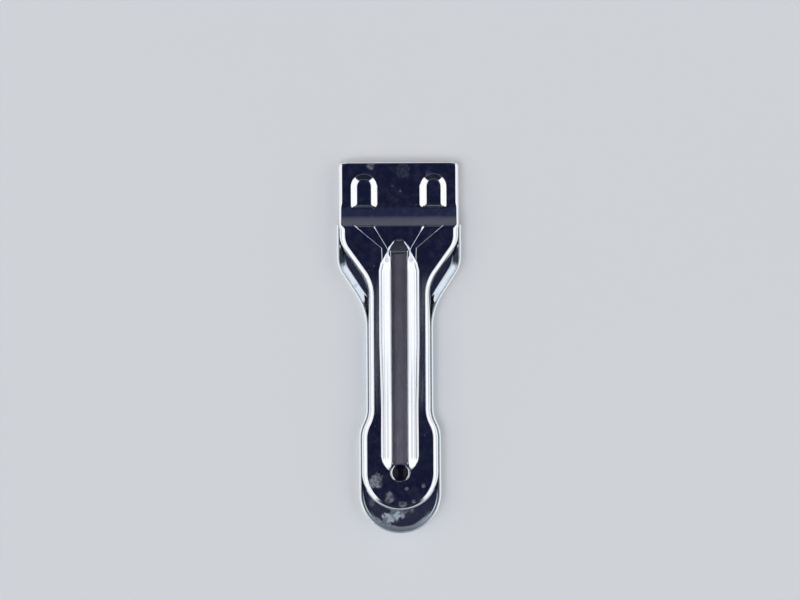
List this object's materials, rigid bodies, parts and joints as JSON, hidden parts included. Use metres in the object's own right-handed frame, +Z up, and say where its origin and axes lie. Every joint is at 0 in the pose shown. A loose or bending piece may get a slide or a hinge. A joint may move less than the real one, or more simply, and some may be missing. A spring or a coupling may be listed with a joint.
{
  "type": "ceramic hob scraper",
  "caption": "Flat metal scraper for ceramic hobs: a chromed cover slides back on its tray to bare the blade and locks with a thumb button.",
  "frame": {"origin": "middle of the length and width, on the surface that the tray rests on", "axes": "+Z up out of the cover's top, +Y along the length toward the blade, +X across"},
  "size_m": [0.0482, 0.1442, 0.0095],
  "materials": {
    "cover_chrome": "bright nickel-chrome plate on pressed steel, polished, with fine handling marks",
    "tray_chrome": "bright chrome plate on pressed steel, slightly hazier than the cover",
    "plate_steel": "zinc-plated steel, satin",
    "blade_steel": "hardened strip steel with a ground edge",
    "spring_steel": "dark satin spring steel",
    "rivet_steel": "plated steel rivet",
    "button_black": "glossy black"
  },
  "bodies": {
    "carrier": {"tray": "tray_chrome", "runner_plate": "plate_steel", "blade": "blade_steel", "lock_bar": "spring_steel", "blade_peg_left": "rivet_steel", "blade_peg_right": "rivet_steel", "bar_rivet_left": "rivet_steel", "bar_rivet_right": "rivet_steel", "spacer_head_left": "plate_steel", "spacer_head_right": "plate_steel", "spacer_grip_front": "plate_steel", "spacer_grip_rear": "plate_steel", "tray_rivet_head_left": "rivet_steel", "tray_rivet_head_right": "rivet_steel", "tray_rivet_grip_front": "rivet_steel", "tray_rivet_grip_rear": "rivet_steel"},
    "cover": {"cover_shell": "cover_chrome"},
    "button": {"lock_button": "button_black"}
  },
  "joints": [
    {"name": "cover_slide", "type": "slide", "parent": "carrier", "child": "cover", "axis": [0, -1, 0], "range_m": [0, 0.008]},
    {"name": "button_press", "type": "slide", "parent": "carrier", "child": "button", "axis": [0, 0, -1], "range_m": [0, 0.0017], "stiffness_N_per_m": 900, "deforming": ["lock_bar"]}
  ]
}
